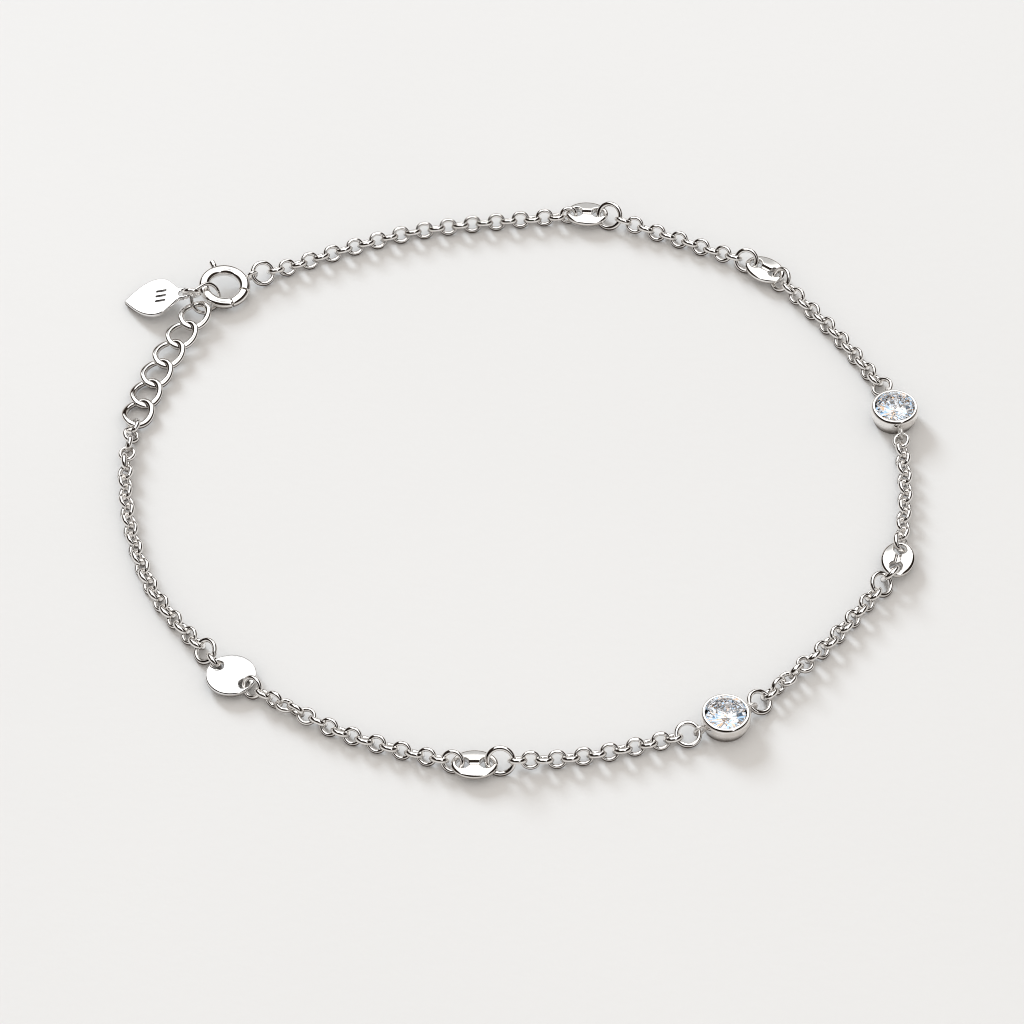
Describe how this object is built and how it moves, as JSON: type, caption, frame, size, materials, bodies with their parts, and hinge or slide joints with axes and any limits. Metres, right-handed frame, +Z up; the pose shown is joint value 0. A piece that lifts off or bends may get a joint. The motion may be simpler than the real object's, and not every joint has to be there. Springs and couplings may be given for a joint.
{
  "type": "anklet",
  "caption": "Silver chain anklet in a closed loop, with puffed oval connectors, bezel-set round stones, a plain disc, a spring ring clasp, an extender and a drop-shaped tag.",
  "frame": {"origin": "middle of the anklet's footprint, on the surface it lies on", "axes": "+Z up from the surface; +X and +Y in the surface, with the clasp at -X +Y and the loop's long way along X"},
  "size_m": [0.0818, 0.0774, 0.003],
  "materials": {
    "silver": "polished silver, mirror bright",
    "satin_silver": "lightly satined silver with a polished lip",
    "clear_stone": "clear cut stone, polished facets"
  },
  "bodies": {
    "anklet": {"clasp_case": "silver", "anchor_1": "silver", "anchor_2": "silver", "anchor_3": "silver", "anchor_4": "silver", "bezel_1": "satin_silver", "stone_1": "clear_stone", "bezel_2": "satin_silver", "stone_2": "clear_stone", "disc": "silver", "chain_1": "silver", "chain_2": "silver", "chain_3": "silver", "chain_4": "silver", "chain_5": "silver", "chain_6": "silver", "chain_7": "silver", "chain_8": "silver", "ring_1": "silver", "ring_2": "silver", "ring_3": "silver", "ring_4": "silver", "ring_5": "silver", "ring_6": "silver", "ring_7": "silver", "ring_8": "silver", "ring_9": "silver", "ring_10": "silver", "ring_11": "silver", "ring_12": "silver", "ring_13": "silver", "ring_14": "silver", "ring_15": "silver", "ring_16": "silver", "extender_1": "silver", "extender_2": "silver", "extender_3": "silver", "extender_4": "silver", "extender_5": "silver", "extender_6": "silver", "end_ring": "silver", "tag_link": "silver", "tag": "silver"},
    "clasp_bolt": {"clasp_bolt": "silver"}
  },
  "joints": [
    {"name": "bolt_slide_round", "type": "hinge", "parent": "anklet", "child": "clasp_bolt", "pos_m": [-0.0304, 0.0261, 0.00117], "axis": [-0.0782, 0.1355, -0.9877], "range_deg": [0, 53], "stiffness_Nm_per_rad": 0.0003, "springref_deg": -17.19}
  ]
}
